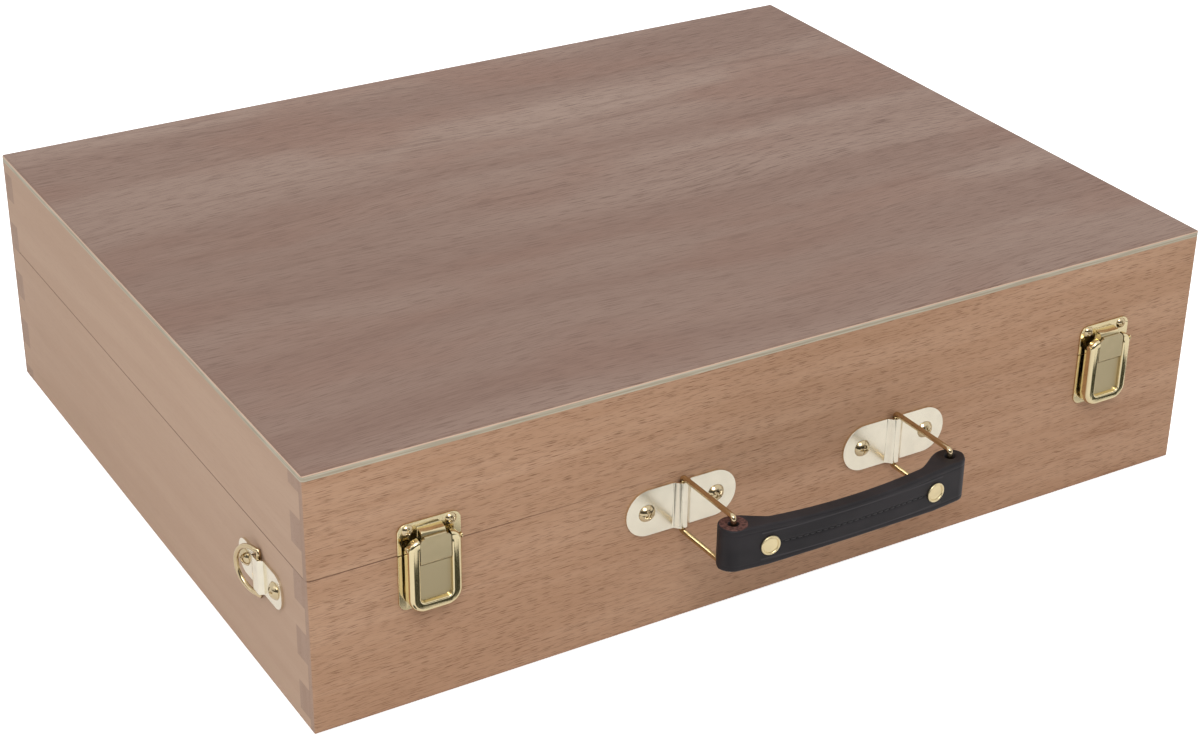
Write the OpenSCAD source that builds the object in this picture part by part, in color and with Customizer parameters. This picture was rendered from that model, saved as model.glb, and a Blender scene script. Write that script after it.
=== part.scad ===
// Brush box with a hinged lid. Beech boards joined with lapped fingers, a plywood
// top and bottom, stop hinges, two draw latches, a leather handle on wire loops
// and a strap ring on each end. X runs along the front, the front faces -Y, Z is up.
// The origin is the middle of the underside.

/* [Box] */
// Length of the box along the front
box_w = 450; // [400:10:560]
// Depth of the box from front to back
box_d = 350; // [290:10:430]
// Height of the closed box
box_h = 120; // [110:5:160]
// Thickness of the beech boards
board_t = 12.5; // [11:0.5:15]
// Height of the saw line between base and lid
seam_z = 72.5; // [70:0.5:80]
// Width of the saw line
seam_gap = 0.1; // [0.1:0.1:0.8]
// Rounding of the outer arrises
arris_r = 1.6; // [0.8:0.2:2.4]
// Thickness of the plywood top, laid over the boards
top_ply_t = 3; // [2.5:0.5:5]
// Thickness of the plywood bottom, let into a rebate
base_ply_t = 3; // [2.5:0.5:5]
// Width of the rebate for the bottom
rebate_w = 6; // [4:0.5:8]

/* [Corner joints] */
// Distance from one finger to the next
finger_pitch = 26.3; // [22:0.1:32]
// Height of one finger of the front and back boards
finger_h = 14; // [10:0.5:17]
// Height of the middle of the lowest front finger
finger_first = 13; // [9:0.5:16]
// Wood that laps over the ends of the side fingers
lap_t = 3; // [2:0.5:5]

/* [Partitions] */
// Thickness of the partitions
divider_t = 5; // [4:0.5:8]
// Height of the partitions above the bottom
divider_h = 52; // [35:1:60]
// Depth of the grooves that hold the partitions
groove_d = 2.5; // [1.5:0.5:4]
// Place of the long partition behind the middle of the box
long_divider_y = 35; // [0:5:90]
// Place of the cross partitions each side of the middle
cross_divider_x = 72; // [40:1:150]

/* [Hinges] */
// Distance from the end of the box to the middle of a hinge
hinge_inset = 80; // [60:5:130]
// Length of a hinge along the seam
hinge_w = 40; // [30:1:60]
// Height of one hinge leaf
hinge_leaf_h = 22; // [16:1:30]
// Thickness of the hinge leaves
hinge_t = 1.2; // [1:0.1:2]
// Diameter of the hinge pin
hinge_pin_d = 2.4; // [2:0.1:3]
// Angle at which the stop fins meet
hinge_stop = 101; // [90:1:110]

/* [Latches] */
// Distance from the end of the box to the middle of a latch
latch_inset = 52.5; // [45:0.5:90]
// Width of the latch plates
latch_plate_w = 28; // [27:0.5:34]
// Thickness of the latch plates
latch_plate_t = 1; // [0.8:0.1:1.4]
// Height of the strike plate on the lid
strike_h = 13.6; // [13.2:0.1:18]
// Height of the latch plate on the base
latch_base_h = 25.6; // [25.5:0.1:34]
// Width of the lever
lever_w = 23.4; // [22:0.2:26]
// Height of the lever front above the box front
lever_lift = 7; // [6.8:0.1:8]
// Width of the rolled rim of the lever
rim_w = 4.65; // [4.4:0.05:5]
// Thickness of the pressed latch sheet
latch_sheet_t = 0.7; // [0.5:0.1:0.8]

/* [Handle] */
// Distance between the two handle brackets
bracket_gap = 110; // [90:2:150]
// Height of the middle of the brackets
bracket_z = 58; // [50:0.5:58.5]
// Length of a bracket plate
bracket_w = 54; // [46:1:60]
// Height of a bracket plate
bracket_h = 22; // [18:0.5:24]
// Distance between the screws of a bracket
bracket_screws = 34; // [28:1:40]
// Diameter of the handle wire
wire_d = 2.5; // [2:0.1:3]
// Reach of the wire loops out of the front
loop_reach = 37; // [30:0.5:45]
// Swing of the handle as it stands, towards +X
loop_swing = 1.5; // [-20:0.5:20]
// Height of the leather grip
grip_h = 19.5; // [14:0.5:21]
// Height of the leather grip in its middle
grip_mid_h = 17; // [12:0.5:18]
// Thickness of the doubled leather
grip_t = 7; // [5:0.2:8]
// Bow of the grip away from the box, between its rolls
grip_bow = 3.4; // [1:0.2:5]
// Diameter of the leather rolled round the wire
roll_d = 13.2; // [10:0.1:14]
// Distance between the two grip rivets
rivet_gap = 84; // [60:1:90]
// Diameter of the rivet caps
rivet_d = 9; // [6:0.5:10]

/* [Strap rings] */
// Distance from the front of the box to the middle of a ring plate
ring_inset = 44.5; // [42:0.5:85]
// Height of the middle of the ring plates
ring_z = 52; // [40:0.5:60]
// Length of a ring plate
ring_plate_w = 42; // [38:1:48]
// Height of a ring plate
ring_plate_h = 16; // [12:0.5:20]
// Distance between the screws of a ring plate
ring_screws = 29; // [26:1:34]
// Diameter of the ring wire
ring_wire_d = 2.2; // [1.8:0.1:2.6]
// Reach of the ring from its pivot to the middle of the bow
ring_reach = 14.4; // [13:0.1:17]
// Angle of the ring off the box end as it stands
ring_lean = 18; // [12:1:60]

/* [Fittings] */
// Thickness of the bracket and ring plates
plate_t = 1.2; // [1:0.1:1.6]
// Diameter of the screw heads on the latches and hinges
screw_head_d = 5.2; // [4.4:0.1:5.6]
// Height of those screw heads
screw_head_h = 1.5; // [1.2:0.1:1.8]
// Diameter of those screw shanks
screw_d = 2.4; // [2:0.1:2.8]
// Length of those screw shanks
screw_l = 9; // [6:0.5:10]
// Diameter of the round screw heads on the brackets and ring plates
round_head_d = 8; // [6.5:0.1:8.6]
// Height of the round screw heads
round_head_h = 2.4; // [2:0.1:2.8]
// Diameter of the shanks under the round heads
round_screw_d = 3.6; // [3:0.1:4]
// Length of the shanks under the round heads
round_screw_l = 10; // [8:0.5:11]
// Running clearance round a pin
pin_gap = 0.06; // [0.03:0.01:0.1]

/* [Hidden] */
$fn = 48;

SIDES = [-1, 1];
beech = [0.72, 0.57, 0.45];
ply = [0.55, 0.44, 0.38];
gold = [0.86, 0.72, 0.36];
champagne = [0.84, 0.78, 0.60];

// Box
front_y = -box_d / 2;
back_y = box_d / 2;
side_x = box_w / 2;
inner_x = side_x - board_t;
hinge_x = side_x - hinge_inset;
latch_x = side_x - latch_inset;
inner_y = back_y - board_t;
base_top = seam_z - seam_gap / 2;
lid_bottom = seam_z + seam_gap / 2;
lid_top = box_h - top_ply_t;
pilot_gap = 0.05;
finger_count = ceil(box_h / finger_pitch);
past = 1;

// Hinges: the barrel stands clear of the back and its axis is on the seam
barrel_r = hinge_pin_d / 2 + 1.4;
hinge_y = back_y + barrel_r + 0.5;
knuckles = 5;
knuckle_gap = 0.2;
leaf_relief = 0.4;
fin_t = 1.2;
fin_reach = barrel_r + 3.4;
fin_inset = 0.2;
hinge_screw_x = hinge_w / 3;

// Latches, as seen from the front: u is across, v is up, depth counts from the front
lever_front = front_y - lever_lift;
latch_face = front_y - latch_plate_t;
lever_bottom = seam_z - 25.5;
lever_corner_r = 7;
rail_end_z = seam_z + 3.5;
lever_depth = lever_lift - latch_plate_t - 1.3;
flange_depth = 2.6;
window_x = lever_w / 2 - rim_w;
pivot_y = lever_front + 2.1;
pivot_z = seam_z + 4.7;
pivot_d = 1.4;
ear_x = window_x + 1.85;
ear_t = 0.9;
ear_r = 1.25;
hinge_tongue_y = lever_front + 1.6;
hinge_tongue_z = seam_z - 2.3;
tongue_pin_d = 1.2;
tongue_r = 1.25;
tongue_t = 0.8;
tongue_gap = 0.25;
tongue_top = seam_z + 8.7;
keeper_w = 10.6;
keeper_top = seam_z + 11.1;
latch_gap = 0.4;
strike_screw_x = 9.5;
strike_screw_z = seam_z + 10.8;
latch_screw_x = 5;
latch_screw_z = seam_z - 21.5;
panel_recess = 1.6;
panel_top = hinge_tongue_z - tongue_r - 0.5;

// Handle: the wire lies against the box under a pressed channel
wire_r = wire_d / 2;
loop_y = front_y - wire_r - 0.1;
channel_r = wire_r + pin_gap + 1;
bend_r = wire_r + 0.25;
loop_h = bracket_h + 0.6 + 2 * bend_r;
grip_dx = loop_reach * sin(loop_swing);
grip_y = loop_y - loop_reach * cos(loop_swing);
roll_hole_d = wire_d + 1.6;
taper_l = (bracket_gap - rivet_gap - rivet_d) / 2 - 0.5;
bow_span = bracket_gap / 2;
bow_radius = (bow_span * bow_span + grip_bow * grip_bow) / (2 * grip_bow);
bow_centre = bow_radius - grip_bow - roll_d / 2;
rivet_seat = 0.03;
rivet_shank_d = 4;
rivet_cap_t = 1.2;

// Rings
ring_r = ring_wire_d / 2;
ring_x = side_x + ring_r + 0.1;
ring_y = -front_y - ring_inset;
ring_over = 1.5;
ring_h = ring_plate_h + 2 * ring_over + ring_wire_d;
band_w = 7.8;
band_r = 1.2;
band_out = ring_x + ring_r + pin_gap + 0.9;

// Solids drawn flat. The first is drawn in X and Z and grows from y0 towards the front,
// the second is drawn in Y and Z and grows from x0 to x1.
module frontwards(y0, y1) translate([0, y0, 0]) rotate([90, 0, 0]) linear_extrude(y0 - y1) children();
module sideways(x0, x1) translate([x0, 0, 0]) rotate([90, 0, 90]) linear_extrude(x1 - x0) children();

// A rectangle about the origin with round corners
module round_rect(w, h, r) {
    square([w - 2 * r, h], center = true);
    square([w, h - 2 * r], center = true);
    for (x = SIDES, y = SIDES) translate([x * (w / 2 - r), y * (h / 2 - r)]) circle(r);
}

module block(lo, hi) translate(lo) cube(hi - lo);

// The outside of the box from z0 to z1, with its arrises rounded where they show
module envelope() {
    intersection() {
        linear_extrude(box_h) round_rect(box_w, box_d, arris_r);
        sideways(-side_x, side_x) translate([0, box_h / 2]) round_rect(box_d, box_h, arris_r);
        frontwards(back_y, front_y) translate([0, box_h / 2]) round_rect(box_w, box_h, arris_r);
    }
}

// Heights of the fingers: the front row, or the row half a step higher
function finger_zs(row) = [for (i = [-1:finger_count]) finger_first + (i + row / 2) * finger_pitch];

// Fingers of one board at both its ends, kept between z0 and z1
module fingers(row, z0, z1, x0, x1, y0, y1) {
    for (z = finger_zs(row)) {
        lo = max(z0, z - finger_h / 2);
        hi = min(z1, z + finger_h / 2);
        if (hi - lo > 0.5) block([x0, y0, lo], [x1, y1, hi]);
    }
}

// Front or back board: a full face with a lap, and fingers behind it at both ends
module cross_board(dir, row, z0, z1) {
    face = dir * back_y;
    lap = dir * (back_y - lap_t);
    inner = dir * inner_y;
    intersection() {
        envelope();
        union() {
            block([-side_x, min(face, lap), z0], [side_x, max(face, lap), z1]);
            block([-inner_x, min(face, inner), z0], [inner_x, max(face, inner), z1]);
            fingers(row, z0, z1, -side_x, side_x, min(lap, inner), max(lap, inner));
        }
    }
}

// Side board: what the front and back boards leave free at the corners
module end_board(dir, z0, z1) {
    x0 = min(dir * inner_x, dir * side_x);
    x1 = max(dir * inner_x, dir * side_x);
    intersection() {
        envelope();
        difference() {
            block([x0, -back_y + lap_t, z0], [x1, back_y - lap_t, z1]);
            fingers(0, z0 - past, z1 + past, -side_x - past, side_x + past, -back_y, -inner_y);
            fingers(1, z0 - past, z1 + past, -side_x - past, side_x + past, inner_y, back_y);
        }
    }
}

// Cuts in the base boards
module rebate() block([-inner_x - rebate_w, -inner_y - rebate_w, -past], [inner_x + rebate_w, inner_y + rebate_w, base_ply_t]);
module long_groove() block([-inner_x - groove_d, long_divider_y - divider_t / 2, base_ply_t],
    [inner_x + groove_d, long_divider_y + divider_t / 2, base_ply_t + divider_h]);
module cross_groove(side) block([side * cross_divider_x - divider_t / 2, long_divider_y + divider_t / 2 - groove_d, base_ply_t],
    [side * cross_divider_x + divider_t / 2, inner_y + groove_d, base_ply_t + divider_h]);

// A round-headed cross screw that stands along Z with its head on z = 0
module screw(head_d = screw_head_d, head_h = screw_head_h, d = screw_d, length = screw_l) {
    dome_r = (head_d * head_d / 4 + head_h * head_h) / (2 * head_h);
    difference() {
        intersection() {
            translate([0, 0, head_h - dome_r]) sphere(dome_r);
            cylinder(h = head_h + past, r = head_d);
        }
        for (a = [0, 90]) rotate([0, 0, a + 20])
            translate([0, 0, head_h]) cube([head_d * 0.56, head_d * 0.115, head_h * 1.07], center = true);
    }
    translate([0, 0, -length]) cylinder(h = length, d = d);
}
module pilot(d = screw_d, length = screw_l) translate([0, 0, -length]) cylinder(h = length + past, d = d + 2 * pilot_gap);
module round_screw() screw(round_head_d, round_head_h, round_screw_d, round_screw_l);
module round_pilot() pilot(round_screw_d, round_screw_l);

// Places of the screws, used by the plates, by the wood behind them and by the screws
module at_front(face) translate([0, face, 0]) rotate([90, 0, 0]) children();
module strike_screw_places(side) for (x = SIDES)
    translate([side * latch_x + x * strike_screw_x, 0, strike_screw_z]) at_front(latch_face) children();
module latch_screw_places(side) for (x = SIDES)
    translate([side * latch_x + x * latch_screw_x, 0, latch_screw_z]) at_front(latch_face) children();
module bracket_screw_places(side) for (x = SIDES)
    translate([side * bracket_gap / 2 + x * bracket_screws / 2, 0, bracket_z]) at_front(front_y - plate_t) children();
module ring_screw_places(side) for (y = SIDES)
    translate([side * (side_x + plate_t), -ring_y + y * ring_screws / 2, ring_z]) rotate([0, side * 90, 0]) children();
module hinge_screw_places(side, up) for (i = [-1:1])
    translate([side * hinge_x + i * hinge_screw_x, back_y + hinge_t, seam_z + up * (hinge_leaf_h * (i == 0 ? 0.74 : 0.46))])
        rotate([-90, 0, 0]) children();

module base_front_board() color(beech) difference() {
    cross_board(-1, 0, 0, base_top);
    rebate();
    for (s = SIDES) {
        latch_screw_places(s) pilot();
        bracket_screw_places(s) round_pilot();
    }
}
module base_back_board() color(beech) difference() {
    cross_board(1, 1, 0, base_top);
    rebate();
    for (s = SIDES) {
        cross_groove(s);
        hinge_screw_places(s, -1) pilot();
    }
}
module base_end_board(side) color(beech) difference() {
    end_board(side, 0, base_top);
    rebate();
    long_groove();
    ring_screw_places(side) round_pilot();
}
module base_panel() color(ply)
    block([-inner_x - rebate_w, -inner_y - rebate_w, 0], [inner_x + rebate_w, inner_y + rebate_w, base_ply_t]);

module long_divider() color(beech) difference() {
    long_groove();
    for (s = SIDES) cross_groove(s);
}
module cross_divider(side) color(beech) cross_groove(side);

module lid_front_board() color(beech) difference() {
    cross_board(-1, 0, lid_bottom, lid_top);
    for (s = SIDES) strike_screw_places(s) pilot();
}
module lid_back_board() color(beech) difference() {
    cross_board(1, 1, lid_bottom, lid_top);
    for (s = SIDES) hinge_screw_places(s, 1) pilot();
}
module lid_end_board(side) color(beech) end_board(side, lid_bottom, lid_top);
module lid_panel() color(ply) intersection() {
    envelope();
    block([-side_x, front_y, lid_top], [side_x, back_y, box_h]);
}

// One hinge leaf. Its own knuckles are the even or the odd ones, and a fin along the
// barrel, carried by those knuckles, stops the lid where it meets the other leaf's fin.
function knuckle_x(i) = -hinge_w / 2 + i * hinge_w / knuckles;
module hinge_leaf(side, up) {
    own = [for (i = [0:knuckles - 1]) if ((i % 2 == 0) == (up < 0)) i];
    relief = barrel_r + leaf_relief;
    knuckle_l = hinge_w / knuckles - knuckle_gap;
    color(gold) translate([side * hinge_x, 0, 0]) difference() {
        union() {
            frontwards(back_y + hinge_t, back_y) translate([0, seam_z + up * (relief + hinge_leaf_h) / 2])
                round_rect(hinge_w, hinge_leaf_h - relief, 2);
            for (i = own) {
                x0 = knuckle_x(i) + knuckle_gap / 2;
                block([x0, back_y, seam_z - (up < 0 ? relief + 1 : 0)],
                    [x0 + knuckle_l, back_y + hinge_t, seam_z + (up > 0 ? relief + 1 : 0)]);
                translate([x0, hinge_y, seam_z]) rotate([0, 90, 0]) cylinder(h = knuckle_l, r = barrel_r);
                fin(up, x0 + fin_inset, knuckle_l - 2 * fin_inset, barrel_r - 0.5, barrel_r + 0.8, fin_inset);
            }
            fin(up, -hinge_w / 2, hinge_w, barrel_r + 0.3, fin_reach, 0);
        }
        translate([-hinge_w, hinge_y, seam_z]) rotate([0, 90, 0])
            cylinder(h = 2 * hinge_w, d = hinge_pin_d + 2 * pin_gap);
        translate([-side * hinge_x, 0, 0]) hinge_screw_places(side, up) pilot();
    }
}
module fin(up, x0, length, from, to, inset) translate([x0, hinge_y, seam_z])
    rotate([up * hinge_stop / 2, 0, 0]) translate([0, from, inset + (up > 0 ? 0 : -fin_t)])
        cube([length, to - from, fin_t - 2 * inset]);
module hinge_pin(side) color(gold) translate([side * hinge_x - hinge_w / 2 - 0.8, hinge_y, seam_z]) rotate([0, 90, 0]) {
    cylinder(h = hinge_w + 1.6, d = hinge_pin_d);
    cylinder(h = 0.8, d = hinge_pin_d + 1.6);
    translate([0, 0, hinge_w + 0.8]) cylinder(h = 0.8, d = hinge_pin_d + 1.6);
}

// The two latch plates: round corners away from the seam, square at the seam
module latch_plate_outline(edge_z, far_z) {
    mid = (edge_z + far_z) / 2;
    h = abs(far_z - edge_z);
    translate([0, mid]) round_rect(latch_plate_w, h, 4);
    translate([-latch_plate_w / 2, min(edge_z, mid)]) square([latch_plate_w, h / 2]);
}
module latch_base(side) color(gold) difference() {
    translate([side * latch_x, 0, 0]) {
        frontwards(front_y, latch_face) latch_plate_outline(seam_z - latch_gap / 2, seam_z - latch_gap / 2 - latch_base_h);
        for (x = SIDES) sideways(x * ear_x - ear_t / 2, x * ear_x + ear_t / 2) difference() {
            union() {
                polygon([[latch_face, seam_z - 14], [latch_face, seam_z - 0.8], [pivot_y + ear_r - 0.1, pivot_z - 0.3],
                    [pivot_y - ear_r + 0.1, pivot_z - 0.3], [pivot_y - ear_r + 0.1, seam_z - 3]]);
                translate([pivot_y, pivot_z]) circle(ear_r);
            }
            translate([pivot_y, pivot_z]) circle(d = pivot_d + 2 * pin_gap);
        }
    }
    latch_screw_places(side) pilot();
}
module latch_pivots(side) color(gold) for (x = SIDES) translate([side * latch_x, pivot_y, pivot_z])
    rotate([0, x * 90, 0]) {
        translate([0, 0, ear_x - ear_t / 2 - 0.4]) cylinder(h = lever_w / 2 - ear_x + 1.3, d = pivot_d);
        translate([0, 0, lever_w / 2 + 0.1]) cylinder(h = 0.4, d = pivot_d + 1);
    }
module strike_plate(side) color(gold) difference() {
    translate([side * latch_x, 0, 0]) {
        frontwards(front_y, latch_face) latch_plate_outline(seam_z + latch_gap / 2, seam_z + latch_gap / 2 + strike_h);
        keeper_front = hinge_tongue_y + tongue_gap;
        sideways(-keeper_w / 2, keeper_w / 2) polygon([[latch_face, seam_z + 6.3], [keeper_front + 0.6, seam_z + 7.2],
            [keeper_front, keeper_top - 2.2], [keeper_front + 0.8, keeper_top - 0.9], [latch_face, keeper_top]]);
    }
    strike_screw_places(side) pilot();
}

// Section of the rolled rim: u runs from the window out, v from the front towards the box
module rim_section() {
    t = latch_sheet_t;
    difference() {
        rim_shape(0, rim_w, 0, lever_depth, 0.8, 1.9);
        rim_shape(t, rim_w - t, t, lever_depth + past, 0.3, 1.9 - t);
        translate([-past, flange_depth]) square([past + t + 0.01, lever_depth]);
    }
}
module rim_shape(u0, u1, v0, v1, ri, ro) {
    translate([u0 + ri, v0]) square([u1 - u0 - ri - ro, v1 - v0]);
    translate([u0, v0 + ri]) square([ri, v1 - v0 - ri]);
    translate([u1 - ro, v0 + ro]) square([ro, v1 - v0 - ro]);
    translate([u0 + ri, v0 + ri]) circle(ri);
    translate([u1 - ro, v0 + ro]) circle(ro);
}
module rim_turn(radius, angle) rotate([-90, 0, 0]) rotate([0, 0, angle])
    rotate_extrude(angle = 90) translate([radius, 0]) rim_section();

// Lever: the rim swept down one rail, round the corners and up the other, with a
// recessed finger panel between the rails
module latch_lever(side) {
    turn_r = lever_corner_r - rim_w;
    corner_z = lever_bottom + lever_corner_r;
    color(gold) translate([side * latch_x, 0, 0]) difference() {
        union() {
            for (x = [0, 1]) mirror([x, 0, 0]) {
                translate([window_x, lever_front, corner_z]) linear_extrude(rail_end_z - corner_z) rim_section();
                translate([window_x, lever_front, rail_end_z]) rim_turn(0, -90);
                translate([window_x - turn_r, lever_front, corner_z]) rim_turn(turn_r, 0);
            }
            translate([-window_x + turn_r, lever_front, lever_bottom + rim_w]) rotate([0, 90, 0])
                linear_extrude(2 * (window_x - turn_r)) rim_section();
            frontwards(lever_front + panel_recess + tongue_t, lever_front + panel_recess) {
                inside = window_x + latch_sheet_t / 2;
                low = lever_bottom + rim_w - latch_sheet_t / 2;
                translate([0, (low + panel_top) / 2]) round_rect(2 * inside, panel_top - low, turn_r + latch_sheet_t / 2);
                translate([-inside, panel_top - 4]) square([2 * inside, 4]);
            }
        }
        block([-lever_w, lever_front + 3.3, rail_end_z - 0.5], [lever_w, front_y, seam_z + 20]);
        translate([-lever_w, pivot_y, pivot_z]) rotate([0, 90, 0]) cylinder(h = 2 * lever_w, d = pivot_d + 2 * pin_gap);
        translate([-window_x - 1, hinge_tongue_y, hinge_tongue_z]) rotate([0, 90, 0])
            cylinder(h = 2 * window_x + 2, d = tongue_pin_d + 2 * pin_gap);
    }
}
module tongue_pin(side) color(gold) translate([side * latch_x - window_x - 1, hinge_tongue_y, hinge_tongue_z])
    rotate([0, 90, 0]) cylinder(h = 2 * window_x + 2, d = tongue_pin_d);
module latch_tongue(side) {
    w = 2 * (window_x - tongue_gap);
    color(gold) translate([side * latch_x, 0, 0]) difference() {
        union() {
            translate([-w / 2, hinge_tongue_y, hinge_tongue_z]) rotate([0, 90, 0]) cylinder(h = w, r = tongue_r);
            frontwards(hinge_tongue_y - tongue_r + tongue_t, hinge_tongue_y - tongue_r) {
                translate([-w / 2, hinge_tongue_z]) square([w, tongue_top - 2 - hinge_tongue_z]);
                translate([0, tongue_top - 4]) round_rect(w, 8 - tongue_t, 2);
            }
            translate([2 - w / 2, hinge_tongue_y - tongue_r + 0.75, tongue_top - 0.4]) rotate([0, 90, 0])
                cylinder(h = w - 4, r = 0.75);
        }
        translate([-w, hinge_tongue_y, hinge_tongue_z]) rotate([0, 90, 0])
            cylinder(h = 2 * w, d = tongue_pin_d + 2 * pin_gap);
    }
}

// Handle bracket: a plate with a pressed channel that keeps the wire against the box
module handle_bracket(side) color(champagne) difference() {
    translate([side * bracket_gap / 2, 0, bracket_z]) {
        frontwards(front_y, front_y - plate_t) round_rect(bracket_w, bracket_h, bracket_h / 2 - 0.1);
        translate([0, 0, -bracket_h / 2]) linear_extrude(bracket_h) difference() {
            union() {
                translate([0, loop_y]) circle(channel_r);
                translate([-channel_r, loop_y]) square([2 * channel_r, front_y - loop_y]);
                polygon([[-channel_r - 2.2, front_y - plate_t], [-channel_r + 0.3, loop_y - 0.9],
                    [channel_r - 0.3, loop_y - 0.9], [channel_r + 2.2, front_y - plate_t]]);
            }
            translate([-channel_r - 3, front_y]) square([2 * channel_r + 6, 9]);
        }
    }
    translate([side * bracket_gap / 2, loop_y, bracket_z]) {
        cylinder(h = bracket_h + 2, r = wire_r + pin_gap, center = true);
        translate([-wire_r - pin_gap, 0, -bracket_h / 2 - 1]) cube([wire_d + 2 * pin_gap, 9, bracket_h + 2]);
    }
    bracket_screw_places(side) round_pilot();
}

// Wire loop: four straight legs and four bends, drawn flat in X and Z and then turned
module wire_loop(reach, height, r, bend) {
    for (z = SIDES) {
        translate([bend, 0, z * height / 2]) rotate([0, 90, 0]) cylinder(h = reach - 2 * bend, r = r);
        for (x = [0, 1]) translate([bend + x * (reach - 2 * bend), 0, z * (height / 2 - bend)])
            rotate([90, 0, 0]) rotate([0, 0, x == 0 ? (z > 0 ? 90 : 180) : (z > 0 ? 0 : 270)])
                rotate_extrude(angle = 90) translate([bend, 0]) circle(r);
    }
    for (x = [0, reach]) translate([x, 0, -height / 2 + bend]) cylinder(h = height - 2 * bend, r = r);
}
module handle_loop(side) color(gold) translate([side * bracket_gap / 2, loop_y, bracket_z])
    rotate([0, 0, loop_swing - 90]) wire_loop(loop_reach, loop_h, wire_r, bend_r);

// Leather grip, seen from above: a doubled strap that bows outwards on one arc, flush with
// the front of the rolls round the wire and drawn in behind them
function strap_back(x) = bow_centre - sqrt(pow(bow_radius - grip_t, 2) - x * x);
module grip_plan() difference() {
    union() {
        intersection() {
            translate([-bow_span, -roll_d]) square([bracket_gap, 2 * roll_d]);
            translate([0, bow_centre]) difference() {
                circle(bow_radius, $fn = 720);
                circle(bow_radius - grip_t, $fn = 720);
            }
        }
        for (x = [0, 1]) mirror([x, 0, 0]) translate([-bow_span, 0]) {
            circle(d = roll_d);
            polygon([[0, roll_d / 2], [0, -roll_d / 2], [taper_l, strap_back(bow_span - taper_l) - grip_t / 2],
                [taper_l, strap_back(bow_span - taper_l)]]);
        }
    }
    for (x = SIDES) translate([x * bow_span, 0]) circle(d = roll_hole_d);
}
module rivet_places() for (x = SIDES) translate([0, bow_centre, 0])
    rotate([0, 0, x * asin(rivet_gap / 2 / bow_radius)]) translate([0, grip_t / 2 - bow_radius, 0]) rotate([90, 0, 0]) children();
module grip_side() {
    drop = (grip_h - grip_mid_h) / 2;
    waist_r = rivet_gap * rivet_gap / (8 * drop) + drop / 2;
    difference() {
        square([bracket_gap + roll_d, grip_h], center = true);
        for (z = SIDES) translate([0, z * (grip_mid_h / 2 + waist_r)]) circle(waist_r, $fn = 360);
    }
}
module handle_grip() color([0.16, 0.14, 0.14]) translate([grip_dx, grip_y, bracket_z]) difference() {
    intersection() {
        translate([0, 0, -grip_h / 2]) linear_extrude(grip_h) grip_plan();
        frontwards(roll_d, -roll_d) grip_side();
    }
    rivet_places() cylinder(h = 3 * grip_t, d = rivet_shank_d + 2 * pilot_gap, center = true);
}
module handle_rivets() color(champagne) translate([grip_dx, grip_y, bracket_z]) rivet_places() {
    cylinder(h = grip_t + rivet_cap_t, d = rivet_shank_d, center = true);
    for (s = [0, 180]) rotate([s, 0, 0]) translate([0, 0, grip_t / 2 + rivet_seat]) {
        cylinder(h = rivet_cap_t * 0.6, d = rivet_d);
        translate([0, 0, rivet_cap_t * 0.6]) cylinder(h = rivet_cap_t * 0.4, d1 = rivet_d, d2 = rivet_d - 1.2);
    }
}

// Ring plate and its band, drawn for the right end and mirrored for the left
module ring_plate(side) color(champagne) mirror([side < 0 ? 1 : 0, 0, 0]) difference() {
    translate([0, -ring_y, ring_z]) {
        sideways(side_x, side_x + plate_t) round_rect(ring_plate_w, ring_plate_h, ring_plate_h / 2 - 1.5);
        translate([0, 0, -ring_plate_h / 2]) linear_extrude(ring_plate_h) difference() {
            translate([band_out - 4, 0]) round_rect(8, band_w, band_r);
            translate([side_x - 20, -band_w]) square([20, 2 * band_w]);
        }
    }
    translate([ring_x, -ring_y, ring_z]) {
        cylinder(h = ring_plate_h + 2, r = ring_r + pin_gap, center = true);
        translate([-9, -ring_r - pin_gap, -ring_plate_h / 2 - 1]) cube([9, ring_wire_d + 2 * pin_gap, ring_plate_h + 2]);
    }
    ring_screw_places(1) round_pilot();
}
module strap_ring(side) {
    bow_r = ring_h / 2;
    straight = ring_reach - bow_r;
    color(gold) mirror([side < 0 ? 1 : 0, 0, 0]) translate([ring_x, -ring_y, ring_z]) rotate([0, 0, 90 - ring_lean]) {
        cylinder(h = ring_h, r = ring_r, center = true);
        for (z = SIDES) translate([0, 0, z * bow_r]) {
            sphere(ring_r);
            rotate([0, 90, 0]) cylinder(h = straight, r = ring_r);
        }
        translate([straight, 0, 0]) rotate([90, 0, 0]) rotate([0, 0, -90])
            rotate_extrude(angle = 180) translate([bow_r, 0]) circle(ring_r);
    }
}

module hinge_screws(up) color(gold) for (s = SIDES) hinge_screw_places(s, up) screw();
module latch_base_screws() color(gold) for (s = SIDES) latch_screw_places(s) screw();
module strike_screws() color(gold) for (s = SIDES) strike_screw_places(s) screw();
module handle_bracket_screws() color(gold) for (s = SIDES) bracket_screw_places(s) round_screw();
module ring_plate_screws() color(gold) for (s = SIDES) ring_screw_places(s) round_screw();

base_front_board();
base_back_board();
base_end_board(-1);  // base_left_board
base_end_board(1);  // base_right_board
base_panel();
long_divider();
cross_divider(-1);  // cross_divider_left
cross_divider(1);  // cross_divider_right
lid_front_board();
lid_back_board();
lid_end_board(-1);  // lid_left_board
lid_end_board(1);  // lid_right_board
lid_panel();
hinge_leaf(-1, -1);  // hinge_lower_leaf_left
hinge_leaf(1, -1);  // hinge_lower_leaf_right
hinge_leaf(-1, 1);  // hinge_upper_leaf_left
hinge_leaf(1, 1);  // hinge_upper_leaf_right
hinge_pin(-1);  // hinge_pin_left
hinge_pin(1);  // hinge_pin_right
hinge_screws(-1);  // hinge_lower_screws
hinge_screws(1);  // hinge_upper_screws
latch_base(-1);  // latch_base_left
latch_base(1);  // latch_base_right
latch_pivots(-1);  // latch_pivots_left
latch_pivots(1);  // latch_pivots_right
latch_base_screws();
strike_plate(-1);  // strike_plate_left
strike_plate(1);  // strike_plate_right
strike_screws();
latch_lever(-1);  // latch_lever_left
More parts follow.
